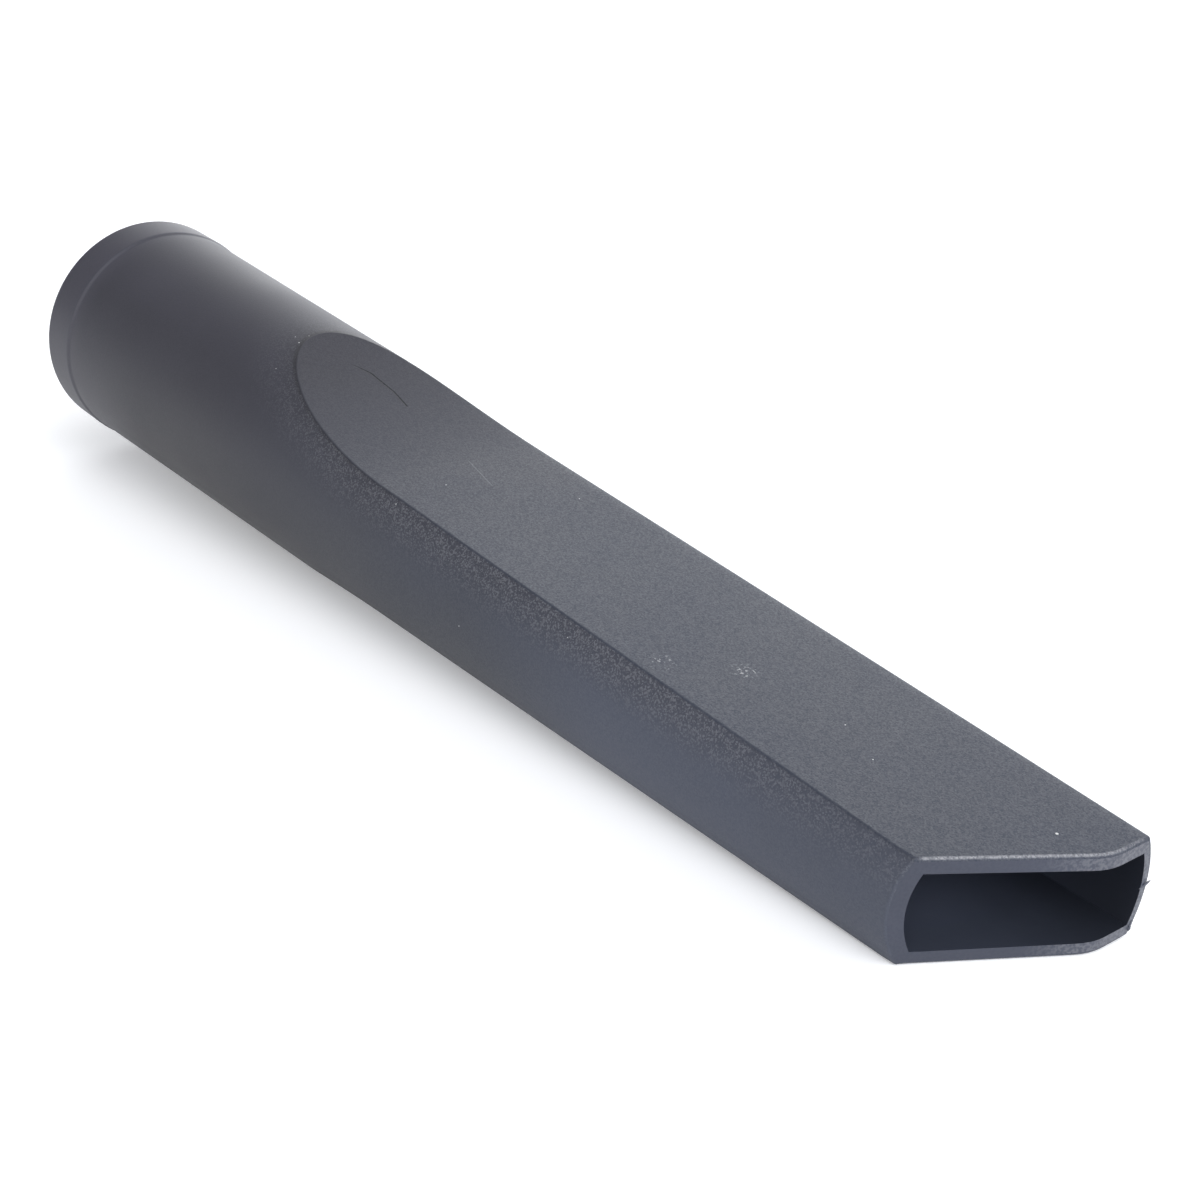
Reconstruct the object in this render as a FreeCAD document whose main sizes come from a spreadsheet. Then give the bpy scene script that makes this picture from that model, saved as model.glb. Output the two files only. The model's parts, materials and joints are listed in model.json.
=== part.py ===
import FreeCAD, Part
import math
import os
import Sketcher

# Vacuum crevice tool, moulded in one piece: a collar and a round socket that slides over a
# hose end, a tapered tube, and a flat on each side that narrows the tube to a slanted mouth.
# Millimetres and degrees. +X runs from the collar's end face to the tip along the tube's axis,
# +Z is square to the flats. The finished piece is then turned to lie as it comes to rest.

NODE = "crevice_nozzle"

SIZES = {
    "overall_length": 220.5,
    "socket_diameter": 35.2,
    "socket_depth": 32.0,
    "socket_lead_in": 0.9,
    "stop_ledge": 0.6,
    "socket_wall": 2.02,
    "collar_height": 0.28,
    "collar_length": 8.8,
    "collar_end_round": 1.0,
    "shoulder_round": 1.5,
    "tube_draft": 1.0,
    "passage_draft": 0.85,
    "flat_start": 60.3,
    "flat_draft": 1.55,
    "flat_wall": 2.05,
    "runout_radius": 118.0,
    "mouth_thickness": 14.71,
    "mouth_angle": 30.0,
    "tip_corner_offset": 7.1,
    "tip_corner_radius": 8.0,
    "edge_round": 0.5,
    "cut_margin": 6.0,
}

# Sizes that follow from the driving ones
SHOULDER_RADIUS = "Sizes.socket_diameter / 2 + Sizes.socket_wall"
COLLAR_RADIUS = SHOULDER_RADIUS + " + Sizes.collar_height"
CLEAR_RADIUS = COLLAR_RADIUS + " + Sizes.cut_margin"
CLEAR_LENGTH = "Sizes.overall_length + Sizes.cut_margin"

# Positions of the points on a sketch's edge, and the number of the sketch's own origin and axis
START, END, CENTRE = range(1, 4)
ORIGIN = H_AXIS = -START

UP = FreeCAD.Vector(0, 0, 1)


def make_sheet(doc):
    """Spreadsheet of the driving dimensions, one named cell each."""
    sheet = doc.addObject("Spreadsheet::Sheet", "Sizes")
    for row, (alias, value) in enumerate(SIZES.items(), start=1):
        sheet.set(f"A{row}", alias)
        sheet.set(f"B{row}", str(value))
        sheet.setAlias(f"B{row}", alias)
    doc.recompute()
    return sheet


class Draft:
    """A sketch on one origin plane of its body, with every size bound to the sheet."""

    def __init__(self, body, name, plane):
        self.sketch = body.newObject("Sketcher::SketchObject", name)
        support = next(f for f in body.Origin.OriginFeatures if f.Role == plane)
        self.sketch.AttachmentSupport = [(support, "")]
        self.sketch.MapMode = "FlatFace"

    def line(self, start, end, construction=False):
        segment = Part.LineSegment(FreeCAD.Vector(*start, 0), FreeCAD.Vector(*end, 0))
        return self.sketch.addGeometry(segment, construction)

    def arc(self, centre, radius, first, last):
        """Arc that runs anticlockwise between two angles in radians."""
        circle = Part.Circle(FreeCAD.Vector(*centre, 0), UP, radius)
        return self.sketch.addGeometry(Part.ArcOfCircle(circle, first, last), False)

    def point(self, place):
        return self.sketch.addGeometry(Part.Point(FreeCAD.Vector(*place, 0)), True)

    def rule(self, *words):
        return self.sketch.addConstraint(Sketcher.Constraint(*words))

    def bind(self, expression, *words):
        """A dimension whose value always comes from the sheet."""
        number = self.rule(*words)
        self.sketch.setExpression(f"Constraints[{number}]", expression)

    def join(self, *ends):
        """Tie the ends of neighbouring edges together: pairs of (edge, position)."""
        for (edge, position), (following, other) in zip(ends[::2], ends[1::2]):
            self.rule("Coincident", edge, position, following, other)

    def at_x(self, geometry, position, expression):
        value = self.sketch.getPoint(geometry, position).x
        self.bind(expression, "DistanceX", ORIGIN, START, geometry, position, value)

    def at_y(self, geometry, position, expression):
        value = self.sketch.getPoint(geometry, position).y
        self.bind(expression, "DistanceY", ORIGIN, START, geometry, position, value)


def tube_radius(size, along):
    """Outer radius of the tapered tube at a distance from the collar's end face."""
    taper = math.tan(math.radians(size("tube_draft")))
    shoulder = size("socket_diameter") / 2 + size("socket_wall")
    return shoulder - taper * (along - size("collar_length"))


def clear_radius(size):
    """A radius that lies outside the whole moulding."""
    shoulder = tube_radius(size, size("collar_length"))
    return shoulder + size("collar_height") + size("cut_margin")


def flat_height(size, along):
    """Half the outer thickness between the two flats at a distance from the collar's end face."""
    slope = math.tan(math.radians(size("flat_draft")))
    return size("mouth_thickness") / 2 + slope * (size("overall_length") - along)


def mouth_near_x(size, across):
    """Where the slanted cut crosses a line parallel to the axis, a distance across from it."""
    slope = math.tan(math.radians(size("mouth_angle")))
    return size("overall_length") - slope * (size("tip_corner_offset") - across)


def revolve(body, draft, name):
    feature = body.newObject("PartDesign::Revolution", name)
    feature.Profile = draft.sketch
    feature.ReferenceAxis = (draft.sketch, ["H_Axis"])
    feature.Angle = 360
    return feature


def pocket_through(body, draft, name):
    """Cut a closed outline right through the body, to both sides of the sketch plane."""
    feature = body.newObject("PartDesign::Pocket", name)
    feature.Profile = draft.sketch
    feature.SideType = "Symmetric"
    feature.Type = "ThroughAll"
    return feature


def tube_line(draft, size, construction):
    """Line along the tube's outer wall, from the shoulder to the tip plane."""
    shoulder = (size("collar_length"), tube_radius(size, size("collar_length")))
    tip = (size("overall_length"), tube_radius(size, size("overall_length")))
    line = draft.line(shoulder, tip, construction)
    draft.at_x(line, START, "Sizes.collar_length")
    draft.at_y(line, START, SHOULDER_RADIUS)
    draft.at_x(line, END, "Sizes.overall_length")
    draft.bind("-Sizes.tube_draft * 1 deg", "Angle", line, -math.radians(size("tube_draft")))
    return line


def outer_profile(body, size):
    """Half section of the outside: collar, soft shoulder and tapered tube."""
    draft = Draft(body, "outer_profile", "XY_Plane")
    shoulder = size("collar_length")
    tube = tube_radius(size, shoulder)
    collar = tube + size("collar_height")
    length = size("overall_length")
    tip = tube_radius(size, length)
    bend = size("shoulder_round")
    turn = math.acos(1 - size("collar_height") / (2 * bend))
    reach = bend * math.sin(turn)

    end_face = draft.line((0, 0), (0, collar))
    collar_wall = draft.line((0, collar), (shoulder - 2 * reach, collar))
    crest = draft.arc((shoulder - 2 * reach, collar - bend), bend, math.pi / 2 - turn, math.pi / 2)
    hollow = draft.arc((shoulder, tube + bend), bend, 1.5 * math.pi - turn, 1.5 * math.pi)
    tube_wall = tube_line(draft, size, False)
    tip_face = draft.line((length, tip), (length, 0))
    axis = draft.line((length, 0), (0, 0))

    draft.join((end_face, END), (collar_wall, START), (tube_wall, END), (tip_face, START))
    draft.join((tip_face, END), (axis, START), (axis, END), (end_face, START))
    draft.rule("Coincident", end_face, START, ORIGIN, START)
    draft.rule("Vertical", end_face)
    draft.rule("Horizontal", collar_wall)
    draft.rule("Vertical", tip_face)
    draft.rule("PointOnObject", tip_face, END, H_AXIS)
    draft.rule("Tangent", collar_wall, END, crest, END)
    draft.rule("Tangent", crest, START, hollow, START)
    draft.rule("Tangent", hollow, END, tube_wall, START)
    draft.rule("Equal", crest, hollow)
    draft.bind("Sizes.shoulder_round", "Radius", hollow, bend)
    draft.at_y(end_face, END, COLLAR_RADIUS)
    return draft


def core_profile(body, size):
    """Half section of the inside: lead-in, socket, stop ledge and passage beyond the tip."""
    draft = Draft(body, "core_profile", "XY_Plane")
    socket = size("socket_diameter") / 2
    lead = size("socket_lead_in")
    depth = size("socket_depth")
    margin = size("cut_margin")
    beyond = size("overall_length") + margin
    wide = socket + lead
    slope = math.radians(size("passage_draft"))
    ledge = socket - size("stop_ledge")
    narrow = ledge - math.tan(slope) * (beyond - depth)

    start_face = draft.line((-margin, 0), (-margin, wide + margin))
    lead_wall = draft.line((-margin, wide + margin), (lead, socket))
    socket_wall = draft.line((lead, socket), (depth, socket))
    ledge_face = draft.line((depth, socket), (depth, ledge))
    passage_wall = draft.line((depth, ledge), (beyond, narrow))
    end_face = draft.line((beyond, narrow), (beyond, 0))
    axis = draft.line((beyond, 0), (-margin, 0))

    edges = (start_face, lead_wall, socket_wall, ledge_face, passage_wall, end_face, axis)
    for edge, following in zip(edges, edges[1:] + edges[:1]):
        draft.join((edge, END), (following, START))
    for edge in (start_face, ledge_face, end_face):
        draft.rule("Vertical", edge)
    draft.rule("Horizontal", socket_wall)
    draft.rule("PointOnObject", start_face, START, H_AXIS)
    draft.rule("PointOnObject", end_face, END, H_AXIS)
    draft.bind("-Sizes.passage_draft * 1 deg", "Angle", passage_wall, -slope)
    draft.at_x(start_face, START, "-Sizes.cut_margin")
    draft.at_y(start_face, END, "Sizes.socket_diameter / 2 + Sizes.socket_lead_in + Sizes.cut_margin")
    draft.at_x(lead_wall, END, "Sizes.socket_lead_in")
    draft.at_y(lead_wall, END, "Sizes.socket_diameter / 2")
    draft.at_x(ledge_face, START, "Sizes.socket_depth")
    draft.at_y(ledge_face, END, "Sizes.socket_diameter / 2 - Sizes.stop_ledge")
    draft.at_x(end_face, START, CLEAR_LENGTH)
    return draft


def flat_outline(body, name, size, inset):
    """Side view of what a flat takes away: the plane runs out through an arc to the tube's top.

    The inset is the sheet value that the surface lies below the outside, or None on the outside.
    Both surfaces share the arc's centre and the plane's slope, so the wall stays even.
    """
    draft = Draft(body, name, "XZ_Plane")
    depth = size(inset) if inset else 0
    depth_cell = f" + Sizes.{inset}" if inset else ""
    drop_cell = f" - Sizes.{inset} / cos(Sizes.flat_draft * 1 deg)" if inset else ""
    slope = math.radians(size("flat_draft"))
    start = (size("flat_start"), tube_radius(size, size("flat_start")))
    mouth = (size("overall_length"), size("mouth_thickness") / 2 - depth / math.cos(slope))
    beyond = size("overall_length") + size("cut_margin")
    top = clear_radius(size)
    radius = size("runout_radius")

    # The arc's centre stands one radius off the outer plane and one radius from the start point
    lift = size("mouth_thickness") / 2 * math.cos(slope) + size("overall_length") * math.sin(slope)
    height = start[1] * math.cos(slope) + start[0] * math.sin(slope) - lift
    back = start[0] * math.cos(slope) - start[1] * math.sin(slope)
    along = back + math.sqrt(radius ** 2 - (radius - height) ** 2)
    out = lift + radius
    centre_x = along * math.cos(slope) + out * math.sin(slope)
    centre_z = out * math.cos(slope) - along * math.sin(slope)
    centre = (centre_x, centre_z)
    reach = radius + depth
    touch = (centre_x - reach * math.sin(slope), centre_z - reach * math.cos(slope))
    first = math.pi + math.asin((centre_z - top) / reach)
    crest = (centre_x + reach * math.cos(first), top)
    low = (beyond, mouth[1] - size("cut_margin") * math.tan(slope))

    outside = tube_line(draft, size, True)
    start_point = draft.point(start)
    mouth_point = draft.point(mouth)
    runout = draft.arc(centre, reach, first, 1.5 * math.pi - slope)
    plane = draft.line(touch, low)
    end_side = draft.line(low, (beyond, top))
    top_side = draft.line((beyond, top), crest)

    draft.rule("PointOnObject", start_point, START, outside)
    draft.at_x(start_point, START, "Sizes.flat_start")
    draft.at_x(mouth_point, START, "Sizes.overall_length")
    draft.at_y(mouth_point, START, "Sizes.mouth_thickness / 2" + drop_cell)
    draft.rule("Tangent", runout, END, plane, START)
    draft.join((plane, END), (end_side, START), (end_side, END), (top_side, START))
    draft.join((top_side, END), (runout, START))
    draft.rule("Vertical", end_side)
    draft.rule("Horizontal", top_side)
    draft.rule("PointOnObject", mouth_point, START, plane)
    draft.bind("-Sizes.flat_draft * 1 deg", "Angle", plane, -slope)
    draft.bind("Sizes.runout_radius" + depth_cell, "Radius", runout, reach)
    draft.bind("Sizes.runout_radius", "Distance", runout, CENTRE, start_point, START, radius)
    draft.at_x(end_side, START, CLEAR_LENGTH)
    draft.at_y(end_side, END, CLEAR_RADIUS)
    return draft


def cut_flats(body, name, size, inset):
    """One flat, and its twin on the other side of the tube's middle plane."""
    outline = flat_outline(body, name + "_outline", size, inset)
    upper = pocket_through(body, outline, name)
    both = body.newObject("PartDesign::Mirrored", name + "_pair")
    both.Originals = [upper]
    both.MirrorPlane = (next(f for f in body.Origin.OriginFeatures if f.Role == "XY_Plane"), [""])
    body.Tip = both
    return [upper, both]


def mouth_outline(body, size):
    """Plan view of what the mouth takes away: a slanted cut, a rounded corner and a blunt tip."""
    draft = Draft(body, "mouth_outline", "XY_Plane")
    length = size("overall_length")
    corner = size("tip_corner_offset")
    bend = size("tip_corner_radius")
    angle = math.radians(size("mouth_angle"))
    side = clear_radius(size)
    beyond = length + size("cut_margin")
    reach = bend * math.tan(angle / 2)
    near = (mouth_near_x(size, -side), -side)
    slant_end = (length - reach * math.sin(angle), corner - reach * math.cos(angle))

    corner_point = draft.point((length, corner))
    slant = draft.line(near, slant_end)
    bend_arc = draft.arc((length - bend, corner + reach), bend, -angle, 0)
    blunt = draft.line((length, corner + reach), (length, side))
    far_side = draft.line((length, side), (beyond, side))
    end_side = draft.line((beyond, side), (beyond, -side))
    near_side = draft.line((beyond, -side), near)

    draft.rule("Tangent", slant, END, bend_arc, START)
    draft.rule("Tangent", bend_arc, END, blunt, START)
    draft.join((blunt, END), (far_side, START), (far_side, END), (end_side, START))
    draft.join((end_side, END), (near_side, START), (near_side, END), (slant, START))
    draft.rule("Vertical", blunt)
    draft.rule("Vertical", end_side)
    draft.rule("Horizontal", far_side)
    draft.rule("Horizontal", near_side)
    draft.rule("PointOnObject", corner_point, START, slant)
    draft.at_x(corner_point, START, "Sizes.overall_length")
    draft.at_y(corner_point, START, "Sizes.tip_corner_offset")
    draft.bind("90 deg - Sizes.mouth_angle * 1 deg", "Angle", slant, math.pi / 2 - angle)
    draft.bind("Sizes.tip_corner_radius", "Radius", bend_arc, bend)
    draft.at_x(blunt, END, "Sizes.overall_length")
    draft.at_y(blunt, END, CLEAR_RADIUS)
    draft.at_x(end_side, START, CLEAR_LENGTH)
    draft.at_y(end_side, END, f"-({CLEAR_RADIUS})")
    return draft


def outward(face):
    """Outward normal at the middle of a face."""
    low_u, high_u, low_v, high_v = face.ParameterRange
    return face.normalAt((low_u + high_u) / 2, (low_v + high_v) / 2)


def border_edges(shape, is_one_side, is_other_side):
    """Names of the edges where faces of one sort meet faces of another sort."""
    one_side = [face for face in shape.Faces if is_one_side(face)]
    other_side = [face for face in shape.Faces if is_other_side(face)]

    def touches(edge, faces):
        return any(edge.isSame(other) for face in faces for other in face.Edges)

    names = []
    for number, edge in enumerate(shape.Edges, start=1):
        if touches(edge, one_side) and touches(edge, other_side):
            names.append(f"Edge{number}")
    return names


def round_edges(body, name, radius_cell, edge_names):
    """Fillet edges of the body's latest shape."""
    base = body.Tip
    feature = body.newObject("PartDesign::Fillet", name)
    feature.Base = (base, edge_names)
    feature.setExpression("Radius", f"Sizes.{radius_cell}")


def make_outer_form(doc, size):
    """The outside of the moulding, still solid."""
    body = doc.addObject("PartDesign::Body", "outer_form")
    revolve(body, outer_profile(body, size), "turned_tube")
    cuts = cut_flats(body, "flat", size, None)
    cuts.append(pocket_through(body, mouth_outline(body, size), "mouth_cut"))
    faces_forward = math.cos(math.radians(size("mouth_angle"))) / 2

    def is_tube(face):
        return isinstance(face.Surface, Part.Cone)

    def is_flat(face):
        return abs(outward(face).z) > faces_forward and not is_tube(face)

    def is_mouth(face):
        return outward(face).x > faces_forward and face.CenterOfMass.x > size("flat_start")

    def is_end(face):
        return outward(face).x < -faces_forward

    def is_side(face):
        return not is_mouth(face) and not is_end(face)

    doc.recompute()
    shape = body.Tip.Shape
    long_edges = border_edges(shape, is_flat, is_tube)
    mouth_edges = border_edges(shape, is_mouth, is_side)
    round_edges(body, "outer_edges", "edge_round", long_edges + mouth_edges)
    doc.recompute()
    round_edges(body, "collar_edge", "collar_end_round", border_edges(body.Tip.Shape, is_end, is_side))
    return body, cuts


def make_core(doc, size):
    """The mould core that leaves the socket and the passage."""
    body = doc.addObject("PartDesign::Body", "moulding_core")
    revolve(body, core_profile(body, size), "turned_core")
    return body, cut_flats(body, "core_flat", size, "flat_wall")


def resting_turn(size):
    """Turn that lays the tool on the heel of its lower flat and on both ends of the slanted mouth."""
    heel_x = size("flat_start")
    heel = FreeCAD.Vector(heel_x, 0, -tube_radius(size, heel_x))
    length = size("overall_length")
    tip = FreeCAD.Vector(length, size("tip_corner_offset"), -flat_height(size, length))
    half_width = math.sqrt(tube_radius(size, length) ** 2 - flat_height(size, length) ** 2)
    near_x = mouth_near_x(size, -half_width)
    near = FreeCAD.Vector(near_x, -half_width, -flat_height(size, near_x))
    normal = (near - heel).cross(tip - heel)
    return FreeCAD.Rotation(normal, UP)


def lay_down(nozzle, size):
    """Set the nozzle on the ground, with the origin under the middle of its outer box."""
    turn = resting_turn(size)
    nozzle.Placement = FreeCAD.Placement(FreeCAD.Vector(), turn)
    box = nozzle.Shape.optimalBoundingBox(False, False)
    nozzle.Placement = FreeCAD.Placement(FreeCAD.Vector(-box.Center.x, -box.Center.y, -box.ZMin), turn)


def check(doc, cuts, nozzle):
    """Stop if a feature failed, a cut removed nothing or the piece is not one sound solid."""
    for item in doc.Objects:
        if "Invalid" in item.State or "Error" in item.State:
            raise RuntimeError(f"{item.Name} did not build: {item.State}")
    for cut in cuts:
        if not cut.Shape.Volume < cut.BaseFeature.Shape.Volume:
            raise RuntimeError(f"{cut.Name} cut nothing")
    if nozzle.Shape.isNull() or not nozzle.Shape.isValid() or len(nozzle.Shape.Solids) != 1:
        raise RuntimeError(f"{nozzle.Label} is not one valid solid")


def main():
    doc = FreeCAD.newDocument("crevice_tool")
    sheet = make_sheet(doc)
    size = sheet.get
    outer, outer_cuts = make_outer_form(doc, size)
    core, core_cuts = make_core(doc, size)
    nozzle = doc.addObject("Part::Cut", NODE)
    nozzle.Label = NODE
    nozzle.Base = outer
    nozzle.Tool = core
    doc.recompute()
    check(doc, outer_cuts + core_cuts, nozzle)
    lay_down(nozzle, size)
    os.makedirs("parts", exist_ok=True)
    nozzle.Shape.exportStep(f"parts/{nozzle.Label}.step")


main()
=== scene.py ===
import bpy
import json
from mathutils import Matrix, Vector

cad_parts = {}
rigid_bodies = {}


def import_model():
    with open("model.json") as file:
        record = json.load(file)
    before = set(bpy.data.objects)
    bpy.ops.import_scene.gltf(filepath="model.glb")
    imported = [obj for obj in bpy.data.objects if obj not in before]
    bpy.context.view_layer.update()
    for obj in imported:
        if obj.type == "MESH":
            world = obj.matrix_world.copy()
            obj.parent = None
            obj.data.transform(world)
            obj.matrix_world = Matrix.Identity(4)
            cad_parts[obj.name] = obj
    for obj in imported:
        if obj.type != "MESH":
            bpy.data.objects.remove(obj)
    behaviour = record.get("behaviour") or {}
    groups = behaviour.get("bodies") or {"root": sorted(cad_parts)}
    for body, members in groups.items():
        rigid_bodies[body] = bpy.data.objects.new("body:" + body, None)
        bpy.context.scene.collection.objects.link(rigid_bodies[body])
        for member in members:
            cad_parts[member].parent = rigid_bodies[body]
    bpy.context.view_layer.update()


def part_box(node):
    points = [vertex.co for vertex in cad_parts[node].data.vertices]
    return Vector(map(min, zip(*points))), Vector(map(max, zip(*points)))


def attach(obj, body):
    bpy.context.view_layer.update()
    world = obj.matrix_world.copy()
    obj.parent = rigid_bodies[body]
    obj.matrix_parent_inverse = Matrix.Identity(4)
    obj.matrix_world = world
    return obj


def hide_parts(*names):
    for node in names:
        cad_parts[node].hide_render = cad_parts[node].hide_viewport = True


for leftover in list(bpy.data.objects):
    bpy.data.objects.remove(leftover)
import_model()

import json
import math

import numpy as np
from mathutils import Euler, Matrix, Vector

# Vacuum crevice tool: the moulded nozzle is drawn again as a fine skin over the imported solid, with
# its spark-eroded grain, moulding marks and dust, and set on a white studio floor.
# The skin is worked out in the tool's own frame: +X runs along the tube from the collar's end face
# to the tip, +Z is square to the flats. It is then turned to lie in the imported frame.

bl_info = {
    "name": "Crevice nozzle",
    "version": (1, 0, 0),
    "blender": (4, 5, 0),
    "location": "3D View > Sidebar > Nozzle",
    "description": "Builds a moulded vacuum crevice nozzle and its studio",
    "category": "Object",
}

NODE = "crevice_nozzle"
BODY = "root"
MM = 0.001


def length(name, millimetres, description):
    return bpy.props.FloatProperty(
        name=name, description=description, default=millimetres * MM, min=0.0,
        precision=5, unit="LENGTH", subtype="DISTANCE")


def angle(name, degrees, description):
    return bpy.props.FloatProperty(
        name=name, description=description, default=math.radians(degrees),
        unit="ROTATION", subtype="ANGLE")


def share(name, value, description):
    return bpy.props.FloatProperty(
        name=name, description=description, default=value, min=0.0, max=1.0, subtype="FACTOR")


def colour(name, value, description):
    return bpy.props.FloatVectorProperty(
        name=name, description=description, default=value, size=3, min=0.0, max=1.0, subtype="COLOR")


def strength(name, value, description):
    return bpy.props.FloatProperty(name=name, description=description, default=value, min=0.0)


class NozzleSizes(bpy.types.PropertyGroup):
    """Sizes of the moulding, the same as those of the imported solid."""
    overall_length: length("Overall length", 220.5, "From the collar's end face to the tip")
    socket_diameter: length("Socket diameter", 35.2, "Bore that slides over the hose end")
    socket_depth: length("Socket depth", 32.0, "From the collar's end face to the stop ledge")
    socket_lead_in: length("Lead-in", 0.9, "Chamfer at the socket's mouth")
    stop_ledge: length("Stop ledge", 0.6, "Ledge at the socket's end that stops the hose")
    socket_wall: length("Socket wall", 2.02, "Wall round the socket at the shoulder")
    collar_height: length("Collar height", 0.28, "How far the collar stands above the tube")
    collar_length: length("Collar length", 8.8, "From the end face to the foot of the shoulder")
    collar_end_round: length("Collar end rounding", 1.0, "Rounding of the collar's outer end")
    shoulder_round: length("Shoulder rounding", 1.5, "Radius of the soft step behind the collar")
    tube_draft: angle("Tube draft", 1.0, "Taper of the round tube, each side")
    passage_draft: angle("Passage draft", 0.85, "Taper of the round passage, each side")
    flat_start: length("Start of the flats", 60.3, "Where the flats begin to cut the tube")
    flat_draft: angle("Flat draft", 1.55, "Slope of each flat towards the tip")
    flat_wall: length("Flat wall", 2.05, "Wall under the flats")
    runout_radius: length("Run-out radius", 118.0, "Radius of the flats' rise at their start")
    mouth_thickness: length("Mouth thickness", 14.71, "Between the two flats at the tip")
    mouth_angle: angle("Mouth angle", 30.0, "Slant of the mouth")
    tip_corner_offset: length("Tip corner", 7.1, "From the axis to the corner of the slant")
    tip_corner_radius: length("Tip corner radius", 8.0, "Rounding of that corner in plan")
    edge_round: length("Edge rounding", 0.5, "Rounding of the long edges and of the mouth")
    far_edge_sag: length("Far edge sag", 0.12, "How far the flats fall away along the far long edge")
    far_edge_width: length("Far edge width", 2.3, "Width of that soft strip")
    core_drift: bpy.props.FloatVectorProperty(
        name="Core drift", default=(0.3 * MM, -0.15 * MM), size=2, precision=5, unit="LENGTH",
        description="How far the mould's core stood off its middle at the tip, +Y and +Z")


class PlasticLook(bpy.types.PropertyGroup):
    """Colour and finish of the moulded plastic."""
    plastic: colour("Plastic", (0.043, 0.0495, 0.071), "Colour of the charcoal plastic at the mouth")
    rim: colour("Rim", (0.038, 0.044, 0.069), "Colour of the mouth's cut rim")
    cuff: colour("Cuff", (0.0365, 0.036, 0.046), "Its slightly warmer colour at the cuff")
    # painted glints: colour added to the grain's pale tops below the upper edges
    glinting: colour("Rubbed", (0.095, 0.097, 0.102), "Added to the grain's rubbed tops below the edges")
    # colour of the mouth's edge, partly abrasion and partly a painted highlight, and of the painted light
    # on the rim's tip
    worn_and_highlit: colour("Worn", (0.32, 0.325, 0.35), "Colour of the mouth's worn edge and tip")
    bore: colour("Bore", (0.034, 0.039, 0.056), "Colour of the smooth inside")
    dust: colour("Dust", (0.75, 0.75, 0.76), "Colour of dust specks and pale scuffs")
    roughness: share("Roughness", 0.55, "Roughness of the grained flats and sides")
    collar_roughness: share("Collar roughness", 0.5, "Roughness of the smoother collar")
    rim_roughness: share("Rim roughness", 0.36, "Roughness of the mouth's cut rim")
    bore_roughness: share("Bore roughness", 0.5, "Roughness of the smooth inside")
    grain: length("Grain", 0.2, "Size of the spark-eroded grain")
    grain_depth: length("Grain depth", 0.018, "Depth of the grain")
    fleck: length("Fleck", 0.2, "Size of the grain's lighter and darker flecks")


class StudioLook(bpy.types.PropertyGroup):
    """Floor, light and camera."""
    floor: colour("Floor", (0.925, 0.93, 0.95), "Colour of the studio floor")
    floor_lift: share("Floor lift", 0.235, "How far the seen floor is lifted towards white")
    light: colour("Light", (0.965, 0.98, 1.0), "Colour of the studio's light")
    horizon: strength("Horizon", 1.02, "Strength of the light near the horizon")
    zenith: strength("Zenith", 0.08, "Strength of the light from above")
    gap: colour("Dark side", (0.05, 0.04, 0.035), "Light left on the studio's dark side")
    focal_length: bpy.props.FloatProperty(
        name="Focal length", description="Lens of the camera, in millimetres", default=61.635, min=1.0)


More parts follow.
